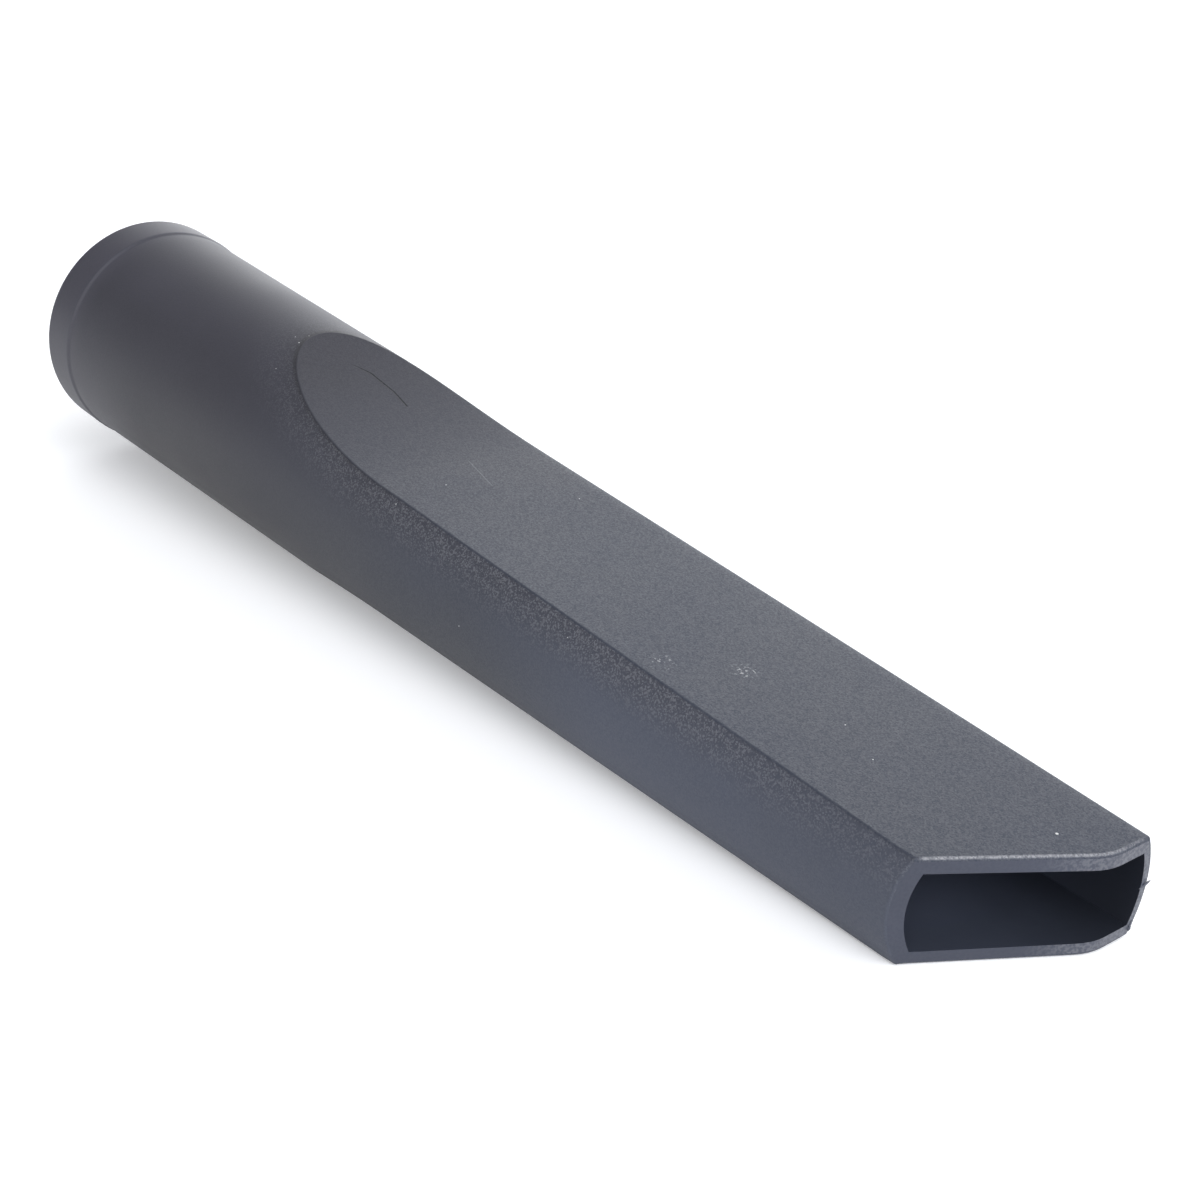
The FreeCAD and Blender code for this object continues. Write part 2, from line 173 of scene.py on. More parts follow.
class Skin:
    """The outer or the inner skin: a drafted round tube with a flat cut into its top and bottom.

    The inner skin is narrower, has sharp edges and drifts off the middle towards the mouth.
    """

    NOSE = 4 * MM           # how far the flat's middle line starts beyond the heel of the flat
    STRETCH = 150 * MM      # beyond this the stations lean over to end on the slanted mouth
    LEAN_ROUNDS = 8         # rounds that bring a leaning station to its place
    SEARCH_LEAD = 5 * MM    # how far before the start of the flats the search for the heel begins
    HALVINGS = 60           # steps of that search
    HEEL_TURN = 14 * MM     # length of the long edge round the heel that has the closer stations
    EDGE_SAMPLES = 4000     # points that measure the long edge
    CROWDING = 1.5          # power by which points crowd towards the edge of a flat
    SAG_RUN = 40 * MM       # length over which the far edge falls away
    SAG_DELAY = 0.25        # share of that length before it begins to
    SAG_POWER = 3           # power by which the fall grows towards the edge
    TINY = 1e-12            # keeps a square root off zero

    def __init__(self, sizes, inside=False):
        self.sizes = sizes
        self.edge_round = 0.0 if inside else sizes.edge_round
        self.draft = sizes.passage_draft if inside else sizes.tube_draft
        self.drift = Vector(sizes.core_drift) if inside else Vector((0, 0))
        self.start = passage_start(sizes) if inside else tube_start(sizes)
        flat_inset = sizes.flat_wall if inside else 0.0
        slope = sizes.flat_draft
        self.fall = math.tan(slope)
        self.flat_drop = flat_inset / math.cos(slope)

        # The run-out arc's centre stands one radius off the outer flat and from its start
        start_x = sizes.flat_start
        start_z = tapered(tube_start(sizes), sizes.tube_draft, start_x)
        lift = sizes.mouth_thickness / 2 * math.cos(slope) + sizes.overall_length * math.sin(slope)
        height = start_z * math.cos(slope) + start_x * math.sin(slope) - lift
        back = start_x * math.cos(slope) - start_z * math.sin(slope)
        along = back + math.sqrt(sizes.runout_radius ** 2 - (sizes.runout_radius - height) ** 2)
        out = lift + sizes.runout_radius
        self.centre_x = along * math.cos(slope) + out * math.sin(slope)
        self.centre_z = out * math.cos(slope) - along * math.sin(slope)
        self.reach = sizes.runout_radius + flat_inset
        self.touch_x = self.centre_x - self.reach * math.sin(slope)
        self.heel_x = self.find_heel()
        self.sagging = 0.0      # 1 on the side where the flats fall away

    def radius(self, x):
        return tapered(self.start, self.draft, x)

    def shift(self, x):
        """How far the skin has drifted off the middle, +Y and +Z."""
        part = np.clip((x - self.heel_x) / (self.sizes.overall_length - self.heel_x), 0, 1) ** 2
        return part * self.drift[0], part * self.drift[1]

    def runout_depth(self, x):
        return np.sqrt(np.maximum(self.reach ** 2 - (x - self.centre_x) ** 2, self.TINY))

    def flat_height(self, x):
        sizes = self.sizes
        plane = sizes.mouth_thickness / 2 + self.fall * (sizes.overall_length - x) - self.flat_drop
        return np.where(x < self.touch_x, self.centre_z - self.runout_depth(x), plane)

    def flat_normal(self, x):
        slope = np.where(x < self.touch_x, (x - self.centre_x) / self.runout_depth(x), -self.fall)
        return unit(np.stack([-slope, np.zeros_like(slope), np.ones_like(slope)], -1))

    def tube_normal(self, sine, cosine):
        level = np.full_like(sine, math.sin(self.draft))
        return np.stack([level, math.cos(self.draft) * sine, math.cos(self.draft) * cosine], -1)

    def find_heel(self):
        """Where the flat comes out of the tube's top, by halving."""
        low, high = self.sizes.flat_start - self.SEARCH_LEAD, self.touch_x
        for _ in range(self.HALVINGS):
            middle = (low + high) / 2
            if self.flat_height(middle) > self.radius(middle):
                low = middle
            else:
                high = middle
        return high

    def edge(self, x):
        """The rounding between flat and tube at +Y and +Z: its centre and its first and last normal."""
        radius = self.radius(x)
        fallen = np.clip((x - self.heel_x) / self.SAG_RUN - self.SAG_DELAY, 0, 1)
        sag = self.sizes.far_edge_sag * self.sagging * fallen
        height = np.minimum(self.flat_height(x), radius) - sag
        across = np.sqrt(radius ** 2 - height ** 2)
        flat = self.tilted(self.flat_normal(x), sag)
        tube = self.tube_normal(across / radius, height / radius)
        crest = np.stack([x, across, height], -1)
        return rounding_centre(crest, flat, tube, self.edge_round), flat, tube

    def tilted(self, normal, sag):
        """A flat's normal where the flat has fallen away this far."""
        lean = np.zeros_like(normal)
        lean[..., 1] = self.SAG_POWER * sag / self.sizes.far_edge_width
        return unit(normal + lean)

    def flat_points(self, x, inwards):
        """Points on the upper flat, from its edge at 0 to its middle line at 1."""
        centre, flat, _ = self.edge(x)
        border = centre + self.edge_round * flat
        middle = self.heel_x + np.hypot(x - self.heel_x, self.NOSE)
        along = border[..., 0] + inwards * (middle - border[..., 0])
        drop = np.maximum(self.flat_height(border[..., 0]) - border[..., 2], 0)
        strip = np.clip(1 - border[..., 1] * inwards / self.sizes.far_edge_width, 0, 1)
        fallen = self.flat_height(along) - drop * strip ** self.SAG_POWER
        height = np.where(inwards == 0, border[..., 2], fallen)
        points = np.stack([along, border[..., 1] * (1 - inwards), height], -1)
        return points, self.tilted(self.flat_normal(along), drop * strip ** (self.SAG_POWER - 1))

    def round_points(self, x, turn):
        """Points on the rounded long edge, from the flat at 0 to the tube at 1."""
        centre, flat, tube = self.edge(x)
        normal = between(flat, tube, turn)
        return centre + self.edge_round * normal, normal

    def side_points(self, x, down):
        """Points round the tube's side, from the upper edge at 0 to the lower one at 1."""
        centre, _, tube = self.edge(x)
        border = centre + self.edge_round * tube
        first = np.arctan2(border[..., 1], border[..., 2])
        turn = first + down * (math.pi - 2 * first)
        at_edge = (down == 0) | (down == 1)
        radius = np.where(at_edge, np.hypot(border[..., 1], border[..., 2]), self.radius(border[..., 0]))
        sine, cosine = np.sin(turn), np.cos(turn)
        points = np.stack([border[..., 0], radius * sine, radius * cosine], -1)
        return points, self.tube_normal(sine, cosine)

    def stations(self, fine, coarse):
        """Places along the long edge, closer together round the heel of the flat."""
        sizes = self.sizes
        reach = math.sqrt(sizes.overall_length - self.heel_x)
        x = self.heel_x + np.linspace(0, reach, self.EDGE_SAMPLES) ** 2
        across = np.sqrt(np.maximum(self.radius(x) ** 2 - self.flat_height(x) ** 2, 0))
        run = np.concatenate([[0], np.cumsum(np.hypot(np.diff(x), np.diff(across)))])
        heel = np.linspace(0, self.HEEL_TURN, fine)
        beyond = np.linspace(self.HEEL_TURN, run[-1], coarse)[1:]
        return np.interp(np.concatenate([heel, beyond]), run, x)

    def half_ring(self, stations, side, counts):
        """Rings of points from the top's middle line round one side to the bottom's, with normals.

        The last ring lies on the mouth, and the ones before it lean towards it.
        """
        flat, turn, tube = (np.linspace(0, 1, count + 1) for count in counts)
        flat = flat ** self.CROWDING
        self.sagging = 1.0 if side > 0 and self.edge_round else 0.0
        parts = [
            (self.flat_points, flat[::-1], 1), (self.round_points, turn, 1), (self.side_points, tube, 1),
            (self.round_points, turn[::-1], -1), (self.flat_points, flat, -1),
        ]
        rings = [self.lean(place, stations, lines, side) for place, lines, _ in parts]
        flips = [np.array([1, side, up]) for _, _, up in parts]
        points = np.concatenate([found[0] * flip for found, flip in zip(rings, flips)], 1)
        normals = np.concatenate([found[1] * flip for found, flip in zip(rings, flips)], 1)
        across, up = self.shift(points[..., 0])
        points[..., 1] += across
        points[..., 2] += up
        return points, normals

    def lean(self, place, stations, lines, side):
        """Rings of one part of the skin, with stations that lean over to end on the mouth."""
        sizes = self.sizes
        x = np.repeat(stations[:, None], len(lines), 1)
        part = np.clip((x - self.STRETCH) / (sizes.overall_length - self.STRETCH), 0, 1)
        for _ in range(self.LEAN_ROUNDS):
            points, _ = place(x, lines)
            across = side * points[..., 1] + self.shift(points[..., 0])[0]
            aim = self.STRETCH + part * (mouth_x(sizes, across) - self.STRETCH)
            x = x + np.where(part > 0, aim - points[..., 0], 0)
        return place(x, lines)


def tube_start(sizes):
    """Where the tube's outer wall begins: a place along the tool and the radius there."""
    return sizes.collar_length, sizes.socket_diameter / 2 + sizes.socket_wall


def passage_start(sizes):
    """The same for the passage, which begins at the stop ledge."""
    return sizes.socket_depth, sizes.socket_diameter / 2 - sizes.stop_ledge


def tapered(start, draft, x):
    """Radius of a drafted tube that has a given radius at its start."""
    return start[1] - math.tan(draft) * (x - start[0])


def unit(vectors):
    return vectors / np.linalg.norm(vectors, axis=-1, keepdims=True)


LEAST_TURN = 1e-6       # below this two unit vectors count as one


def between(first, last, part):
    """Unit vectors on the arc from one to another."""
    part = np.asarray(part)[..., None]
    cosine = np.clip((first * last).sum(-1, keepdims=True), -1, 1)
    turn = np.maximum(np.arccos(cosine), LEAST_TURN)
    return unit(np.sin((1 - part) * turn) * first + np.sin(part * turn) * last)


def rounding_centre(crest, first, last, radius):
    """Centre of the rounding that touches two faces with these normals, which meet at the crest."""
    return crest - radius * (first + last) / (1 + (first * last).sum(-1, keepdims=True))


def mouth_arc(sizes):
    """Middle of the tip corner's rounding across the tool, and where the slant runs into it."""
    middle = sizes.tip_corner_offset + sizes.tip_corner_radius * math.tan(sizes.mouth_angle / 2)
    return middle, middle - sizes.tip_corner_radius * math.sin(sizes.mouth_angle)


def mouth_x(sizes, y):
    """The mouth in plan: a slant, a rounded corner and a blunt tip."""
    middle, slant_end = mouth_arc(sizes)
    radius = sizes.tip_corner_radius
    slant = sizes.overall_length - math.tan(sizes.mouth_angle) * (sizes.tip_corner_offset - y)
    bend = np.sqrt(np.maximum(radius ** 2 - np.clip(y - middle, -radius, 0) ** 2, 0))
    return np.where(y < slant_end, slant, sizes.overall_length - radius + bend)


def mouth_normal(sizes, y):
    """Which way the mouth's rim faces."""
    middle, _ = mouth_arc(sizes)
    sine = np.clip((y - middle) / sizes.tip_corner_radius, -math.sin(sizes.mouth_angle), 0)
    return np.stack([np.sqrt(1 - sine ** 2), sine, np.zeros_like(sine)], -1)


class MeshSheet:
    """Collects grids of points with their own normals, and welds them into one mesh."""

    GRAIN = 1e-6    # points nearer than about this are one

    def __init__(self):
        self.points, self.normals, self.uvs, self.faces, self.finishes = [], [], [], [], []

    def add(self, points, normals, uvs, finish, flip):
        """Add a grid of points as four-sided faces of one finish."""
        first = sum(len(block) for block in self.points)
        rows, columns = points.shape[:2]
        number = first + np.arange(rows * columns).reshape(rows, columns)
        corners = [number[:-1, :-1], number[1:, :-1], number[1:, 1:], number[:-1, 1:]]
        quads = np.stack(corners, -1).reshape(-1, 4)
        self.faces.append(quads[:, ::-1] if flip else quads)
        self.finishes.append(np.full(len(quads), finish))
        self.points.append(points.reshape(-1, 3))
        self.normals.append(normals.reshape(-1, 3))
        self.uvs.append(uvs.reshape(-1, 2))

    def weld(self, name, attributes):
        """One mesh with shared corners, each face keeping its own normals and map places."""
        points = np.concatenate(self.points)
        keys = np.round(points / self.GRAIN).astype(np.int64)
        _, kept, shared = np.unique(keys, axis=0, return_index=True, return_inverse=True)
        shared = shared.ravel()
        faces, corners, finishes = [], [], []
        for quad, finish in zip(np.concatenate(self.faces), np.concatenate(self.finishes)):
            spots = shared[quad]
            chosen = [k for k in range(4) if spots[k] != spots[k - 1]]
            if len(chosen) > 2 and len(set(spots[chosen])) == len(chosen):
                faces.append([int(spots[k]) for k in chosen])
                corners.extend(int(quad[k]) for k in chosen)
                finishes.append(int(finish))
        mesh = bpy.data.meshes.new(name)
        mesh.from_pydata(points[kept].tolist(), [], faces)
        mesh.polygons.foreach_set("material_index", finishes)
        mesh.polygons.foreach_set("use_smooth", [True] * len(faces))
        layer = mesh.uv_layers.new(name="OFBake")
        layer.uv.foreach_set("vector", np.concatenate(self.uvs)[corners].astype(np.float32).ravel())
        for attribute, values in attributes(points[kept]).items():
            kind = "FLOAT_VECTOR" if values.ndim == 2 else "FLOAT"
            field = "vector" if values.ndim == 2 else "value"
            made = mesh.attributes.new(attribute, kind, "POINT")
            made.data.foreach_set(field, values.astype(np.float32).ravel())
        mesh.normals_split_custom_set(np.concatenate(self.normals)[corners].tolist())
        return mesh


def turned(profile, normals, sides, side):
    """Half of a turned surface: profile points (x, radius) swept from the top round one side."""
    turn = np.linspace(0, math.pi, sides + 1)
    profile, normals = np.asarray(profile), np.asarray(normals)

    def sweep(pairs):
        along = np.repeat(pairs[:, :1], sides + 1, 1)
        return np.stack([along, side * pairs[:, 1:] * np.sin(turn), pairs[:, 1:] * np.cos(turn)], -1)

    return sweep(profile), sweep(normals)


def arc(centre, radius, first, last, steps):
    """Points and normals of a profile's arc, by the angle from the radial direction towards +X."""
    turn = np.linspace(first, last, steps + 1)
    normals = np.stack([np.sin(turn), np.cos(turn)], -1)
    return np.asarray(centre) + radius * normals, normals


END_STEPS, SHOULDER_STEPS, TUBE_STEPS = 8, 6, 25    # round the collar's end, each bend behind it, the tube


def outer_profile(sizes, end):
    """Half section of the collar and the round tube, up to the end point on the tube."""
    tube = sizes.socket_diameter / 2 + sizes.socket_wall
    collar = tube + sizes.collar_height
    bend, draft = sizes.shoulder_round, sizes.tube_draft
    turn = math.acos((1 + math.cos(draft)) / 2 - sizes.collar_height / (2 * bend))
    crest_x = sizes.collar_length + bend * (math.sin(draft) - 2 * math.sin(turn))
    hollow = (sizes.collar_length + bend * math.sin(draft), tube + bend * math.cos(draft))
    end_round = sizes.collar_end_round
    pieces = [
        arc((end_round, collar - end_round), end_round, -math.pi / 2, 0, END_STEPS),
        arc((crest_x, collar - bend), bend, 0, turn, SHOULDER_STEPS),
    ]
    low, low_normals = arc(hollow, -bend, turn, draft, SHOULDER_STEPS)
    pieces.append((low[1:], low_normals[1:]))
    run = np.linspace(0, 1, TUBE_STEPS + 1)[1:, None]
    wall = low[-1] + run * (np.asarray(end) - low[-1])
    pieces.append((wall, np.repeat(low_normals[-1:], len(wall), 0)))
    return np.concatenate([p for p, _ in pieces]), np.concatenate([n for _, n in pieces])


MAP_SCALE = 1 / (240 * MM)      # from metres to the map, which is one wide and one high
MAP_MARGIN = 0.005


def summed(steps):
    """Length along each row from its first point, given the steps from point to point."""
    return np.concatenate([np.zeros((len(steps), 1)), np.cumsum(steps, 1)], 1)


def unrolled(points, side, middle):
    """Map places of a skin: its length across the map, its girth up or down from the top's middle line."""
    girth = summed(np.linalg.norm(np.diff(points[..., 1:], axis=1), axis=-1))
    return np.stack([MAP_MARGIN + points[..., 0] * MAP_SCALE, middle + side * girth * MAP_SCALE], -1)


def strip(points, side, edge):
    """Map places of a narrow ring: its width across the map, its girth up or down from the map's middle."""
    girth = summed(np.linalg.norm(np.diff(points, axis=1), axis=-1))
    rise = np.linalg.norm(np.diff(points, axis=0), axis=-1).mean(1)
    width = np.concatenate([[0], np.cumsum(rise)])[:, None] + 0 * girth
    return np.stack([edge + width * MAP_SCALE, 0.5 + side * girth * MAP_SCALE], -1)


GRAINED, RIM, BORE = range(3)                           # the nozzle's finishes
FLAT_STEPS, ROUND_STEPS, SIDE_STEPS = 16, 6, 72         # across half a flat, an edge's rounding and a side
RING_STEPS = (FLAT_STEPS, ROUND_STEPS, SIDE_STEPS)
RIM_STEPS, BORE_STEPS = 3, 8                            # across the mouth's rim, along each length of bore
OUTER_STATIONS, INNER_STATIONS = (22, 60), (16, 40)     # round the heel of the flats, then on to the mouth
OUTER_MIDDLE, INNER_MIDDLE = 0.265, 0.765               # where the top's middle line lies on the map
RIM_STRIP, SOCKET_STRIP, STRIP_PITCH = 0.94, 0.96, 0.01     # where the narrow rings lie on it


def rounded_corners(counts):
    """Columns of a half ring that run together in a ball at the mouth: both its corners."""
    flat, turn, tube = counts
    upper = slice(flat, flat + turn + 3)
    lower = slice(flat + turn + tube + 2, flat + 2 * turn + tube + 5)
    return upper, lower


def add_outside(sheet, sizes, outer, side):
    """Half the outside: the collar's rounded end, the tube, the flats and the mouth's rounded edge.

    Gives the last ring, where the mouth's rim begins.
    """
    start, _ = outer.side_points(np.array([outer.heel_x]), np.array([0.0]))
    profile, lean = outer_profile(sizes, (start[0, 0], start[0, 2]))
    points, normals = turned(profile, lean, SIDE_STEPS, side)
    sheet.add(points, normals, unrolled(points, side, OUTER_MIDDLE), GRAINED, side < 0)
    rings, facing = outer.half_ring(outer.stations(*OUTER_STATIONS), side, RING_STEPS)
    crest, skin = rings[-1], facing[-1]
    front = mouth_normal(sizes, crest[:, 1])
    centre = rounding_centre(crest, skin, front, sizes.edge_round)
    for corner in rounded_corners(RING_STEPS):
        centre[corner] = centre[corner].mean(0)
    turns = np.linspace(0, 1, ROUND_STEPS + 1)
    edge_normals = np.stack([between(skin, front, np.full(len(skin), turn)) for turn in turns])
    edge = centre + sizes.edge_round * edge_normals
    rings = np.concatenate([rings[:-1], edge])
    facing = np.concatenate([facing[:-1], edge_normals])
    sheet.add(rings, facing, unrolled(rings, side, OUTER_MIDDLE), GRAINED, side < 0)
    return edge[-1]


def add_duct(sheet, sizes, inner, side, edge):
    """Half the flat duct behind the mouth, and half the mouth's rim, from its outer edge inwards."""
    rings, facing = inner.half_ring(inner.stations(*INNER_STATIONS), side, RING_STEPS)
    sheet.add(rings, -facing, unrolled(rings, side, INNER_MIDDLE), BORE, side > 0)
    part = np.linspace(0, 1, RIM_STEPS + 1)[:, None, None]
    face = edge + part * (rings[-1] - edge)
    face[..., 0] = mouth_x(sizes, face[..., 1])
    face[0], face[-1] = edge, rings[-1]
    front = mouth_normal(sizes, face[..., 1])
    sheet.add(face, front, strip(face, side, RIM_STRIP), RIM, side < 0)


def add_socket(sheet, sizes, inner, side):
    """Half the collar's end face, the socket's lead-in, wall and stop ledge, and the round passage."""
    start, _ = inner.side_points(np.array([inner.heel_x]), np.array([0.0]))
    throat = (start[0, 0], start[0, 2])
    socket, lead, depth = sizes.socket_diameter / 2, sizes.socket_lead_in, sizes.socket_depth
    ledge = socket - sizes.stop_ledge
    draft = sizes.passage_draft
    slanted = -math.sqrt(0.5)
    face_radius = socket + sizes.socket_wall + sizes.collar_height - sizes.collar_end_round
    lengths = [
        ((0, face_radius), (0, socket + lead), (-1, 0), 1),
        ((0, socket + lead), (lead, socket), (slanted, slanted), 1),
        ((lead, socket), (depth, socket), (0, -1), BORE_STEPS),
        ((depth, socket), (depth, ledge), (-1, 0), 1),
        ((depth, ledge), throat, (-math.sin(draft), -math.cos(draft)), BORE_STEPS),
    ]
    for number, (first, last, normal, steps) in enumerate(lengths):
        run = np.linspace(0, 1, steps + 1)[:, None]
        line = np.asarray(first) + run * (np.asarray(last) - np.asarray(first))
        points, normals = turned(line, [normal] * len(line), SIDE_STEPS, side)
        if steps == 1:
            places = strip(points, side, SOCKET_STRIP + STRIP_PITCH * number)
        else:
            places = unrolled(points, side, INNER_MIDDLE)
        sheet.add(points, normals, places, BORE if number else RIM, side > 0)


def nozzle_mesh(sizes, lie):
    """The whole moulding as one closed skin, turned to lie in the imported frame."""
    outer = Skin(sizes)
    inner = Skin(sizes, inside=True)
    sheet = MeshSheet()
    for side in (1, -1):
        edge = add_outside(sheet, sizes, outer, side)
        add_duct(sheet, sizes, inner, side, edge)
        add_socket(sheet, sizes, inner, side)
    mesh = sheet.weld(NODE + "_skin", lambda points: edge_gaps(sizes, outer, points))
    mesh.transform(lie)
    return mesh


SIDE_SLACK = 0.2 * MM       # a point this far inside the tube still counts as on its side


def edge_gaps(sizes, outer, points):
    """Where each point lies: its place in the tool's frame, and its gaps to the long edges and the mouth.

    The gap to the long edges counts down the side of the tube, and is less than 0 on a flat.
    """
    x, across, up = points[:, 0], np.abs(points[:, 1]), np.abs(points[:, 2])
    radius, height = outer.radius(x), outer.flat_height(x)
    crest = np.sqrt(np.maximum(radius ** 2 - height ** 2, 0))
    on_side = np.hypot(across, up) > radius - SIDE_SLACK
    return {
        "tool_place": points,
        "ridge_gap": np.where(on_side, height - up, np.minimum(across - crest, 0)),
        "mouth_gap": mouth_x(sizes, points[:, 1]) - x,
    }


# Flash left at the mouth's far end, in the tool's own millimetres:
# points along each sliver, and its half width there
FLASH = (
    ((220.42, 14.35, -0.52, 0.0), (220.5, 14.6, -0.35, 0.16), (220.62, 15.1, 0.02, 0.17),
     (220.75, 15.5, 0.33, 0.12), (220.85, 15.85, 0.56, 0.0)),
    ((220.42, 14.6, -4.75, 0.0), (220.5, 14.42, -5.15, 0.13), (220.52, 14.15, -5.7, 0.17),
     (220.56, 13.95, -6.2, 0.24), (220.6, 13.98, -6.55, 0.0)),
)


FLASH_SIDES = 8
SLIVER_MARGIN, SLIVER_LENGTH = 0.05, 0.4        # of each sliver on its half of the map


def flash_mesh(lie):
    """Slivers of plastic that the mould's parting line left at the mouth."""
    sheet = MeshSheet()
    turn = np.linspace(0, 2 * math.pi, FLASH_SIDES + 1)
    for number, sliver in enumerate(FLASH):
        line = np.array(sliver)[:, :3] * MM
        half_width = np.array(sliver)[:, 3:, None] * MM
        run = unit(np.gradient(line, axis=0))
        sideways = unit(np.cross(run, (0, 0, 1)))
        upright = np.cross(sideways, run)
        normals = sideways[:, None] * np.cos(turn)[:, None] + upright[:, None] * np.sin(turn)[:, None]
        down = np.linspace(SLIVER_MARGIN, SLIVER_MARGIN + SLIVER_LENGTH, len(line)) + number / len(FLASH)
        places = np.stack(np.meshgrid(down, turn / (2 * math.pi), indexing="ij"), -1)
        sheet.add(line[:, None] + half_width * normals, normals, places, 0, False)
    mesh = sheet.weld(NODE + "_flash", lambda points: {"tool_place": points})
    mesh.transform(lie)
    return mesh


def resting_turn(sizes):
    """Turn that lays the tool on the heel of its lower flat and on both ends of the slanted mouth."""
    outer = Skin(sizes)
    tip_x, tip_y = sizes.overall_length, sizes.tip_corner_offset
    half_width = math.sqrt(outer.radius(tip_x) ** 2 - float(outer.flat_height(tip_x)) ** 2)
    near_x = float(mouth_x(sizes, -half_width))
    heel = Vector((sizes.flat_start, 0, -outer.radius(sizes.flat_start)))
    tip = Vector((tip_x, tip_y, -float(outer.flat_height(tip_x))))
    near = Vector((near_x, -half_width, -float(outer.flat_height(near_x))))
    normal = (near - heel).cross(tip - heel)
    return normal.rotation_difference(Vector((0, 0, 1))).to_matrix().to_4x4()


class Signal:
    """A socket of a node tree. Arithmetic on it adds Math nodes."""

    def __init__(self, tree, socket):
        self.tree, self.socket = tree, socket

    def math(self, operation, *values):
        return self.tree.node("ShaderNodeMath", {"operation": operation}, dict(enumerate(values)))

    def __add__(self, other):
        return self.math("ADD", self, other)

    def __radd__(self, other):
        return self.math("ADD", other, self)

    def __sub__(self, other):
        return self.math("SUBTRACT", self, other)

    def __rsub__(self, other):
        return self.math("SUBTRACT", other, self)

    def __mul__(self, other):
        return self.math("MULTIPLY", self, other)

    def __rmul__(self, other):
        return self.math("MULTIPLY", other, self)

    def __truediv__(self, other):
        return self.math("DIVIDE", self, other)

    def __rtruediv__(self, other):
        return self.math("DIVIDE", other, self)

    def __abs__(self):
        return self.math("ABSOLUTE", self)

    def most(self, other):
        return self.math("MAXIMUM", self, other)


class NodeSheet:
    """A node tree that is written as expressions."""

    def __init__(self, tree):
        self.tree = tree
        tree.nodes.clear()

    def node(self, kind, settings=None, inputs=None, output=0):
        """Add a node: its settings first, then its sockets' values or links. Gives one output."""
        made = self.tree.nodes.new(kind)
        for name, value in (settings or {}).items():
            if name == "stops":
                for stop, (position, shade) in zip(self.stops(made, len(value)), value):
                    stop.position, stop.color = position, (shade, shade, shade, 1)
            else:
                setattr(made, name, value)
        for name, value in (inputs or {}).items():
            if isinstance(value, Signal):
                self.tree.links.new(value.socket, made.inputs[name])
            else:
                made.inputs[name].default_value = value
        return Signal(self, made.outputs[output]) if made.outputs else None

    @staticmethod
    def stops(ramp, count):
        while len(ramp.color_ramp.elements) < count:
            ramp.color_ramp.elements.new(0.5)
        return ramp.color_ramp.elements

    def attribute(self, name, output="Fac"):
        return self.node("ShaderNodeAttribute", {"attribute_name": name}, {}, output)

    def axis(self, vector, name):
        return self.node("ShaderNodeSeparateXYZ", {}, {0: vector}, name)

    def vector_math(self, operation, first, last, output=0):
        """Vector Math on two vectors: output 0 is a vector, output 1 a value."""
        return self.node("ShaderNodeVectorMath", {"operation": operation}, {0: first, 1: last}, output)

    def scaled(self, vector, factor):
        return self.node("ShaderNodeVectorMath", {"operation": "SCALE"}, {0: vector, "Scale": factor})

    def mix(self, factor, first, last):
        """Blend two colours."""
        return self.node("ShaderNodeMix", {"data_type": "RGBA"}, {0: factor, 6: first, 7: last}, 2)

    def band(self, value, low, high, first=0.0, last=1.0):
        """A value carried from one range to another, smoothly and clamped."""
        return self.node(
            "ShaderNodeMapRange", {"interpolation_type": "SMOOTHSTEP"},
            {"Value": value, "From Min": low, "From Max": high, "To Min": first, "To Max": last})

    def course(self, value, stops):
        """A value read off a curve through a few points."""
        return self.node("ShaderNodeValToRGB", {"stops": stops}, {"Fac": value})

    def noise(self, place, size, detail=2.0, roughness=0.5):
        return self.node(
            "ShaderNodeTexNoise", {},
            {"Vector": place, "Scale": 1 / size, "Detail": detail, "Roughness": roughness})


def new_material(name):
    material = bpy.data.materials.new(name)
    material.use_nodes = True
    return material, NodeSheet(material.node_tree)


def opaque(rgb):
    return (*rgb, 1.0)


# Marks on the outside, in the tool's own millimetres
SPECKS = (      # dust specks: place and half width
    (213.9, 4.5, 7.55, 0.26), (60.8, -4.7, 18.1, 0.14), (58.7, -4.1, 18.3, 0.1),
    (60.0, -2.3, 18.6, 0.09), (63.1, -10.4, 15.45, 0.11), (61.8, -9.1, 16.2, 0.1),
    (191.0, -3.3, 8.15, 0.12), (183.5, -0.6, 8.35, 0.12), (104.3, -15.1, 9.7, 0.12),
    (124.4, -17.6, -0.6, 0.1), (103.9, -5.8, 10.5, 0.12), (145.9, -15.6, 7.3, 0.09),
    (117.2, 9.3, 10.2, 0.13),
)
SCUFFS = ((167.2, -2.9, 8.8, 2.5), (160.0, -10.9, 9.0, 2.6))       # rubbed spots: place and half width
WELD_LINE = ((67.6, 0.3), (69.6, 1.6), (71.1, 2.5), (74.2, 3.0), (76.5, 3.35), (79.1, 3.2), (81.0, 3.0))
SCRATCH = ((98.0, 2.3), (107.5, 0.2))
LINE_SPARE = 1                              # room beside a line on its curve
WELD_WIDTH, SCRATCH_WIDTH = 0.2, 0.14       # half widths of these lines

# How strong the marks are
SPECK_LEVEL, SCUFF_LEVEL, SCRATCH_LEVEL = 0.9, 0.38, 0.07       # how near they come to the dust's colour
SPECK_CORE, SCUFF_CORE, LINE_CORE = 0.5, 0.2, 0.4               # share of the half width that is full
WELD_DARKNESS, WELD_ROUGHNESS, WELD_DEPTH = 0.75, 0.15, 1.5     # its depth is in depths of the grain
# painted shade on the tube along the flats
CREASE_SHADE = 0.5
GLINT_DULLNESS = 0.75         # how far the grain in the band of painted glints goes to the cuff's colour between its pale tops
EVEN_HIGHLIT_WEAR = 0.35            # share of the mouth edge's colour, partly abrasion and partly a painted highlight, that the flecks leave even
SPARKLE_GLOSS = 3           # how much smoother the pale flecks are

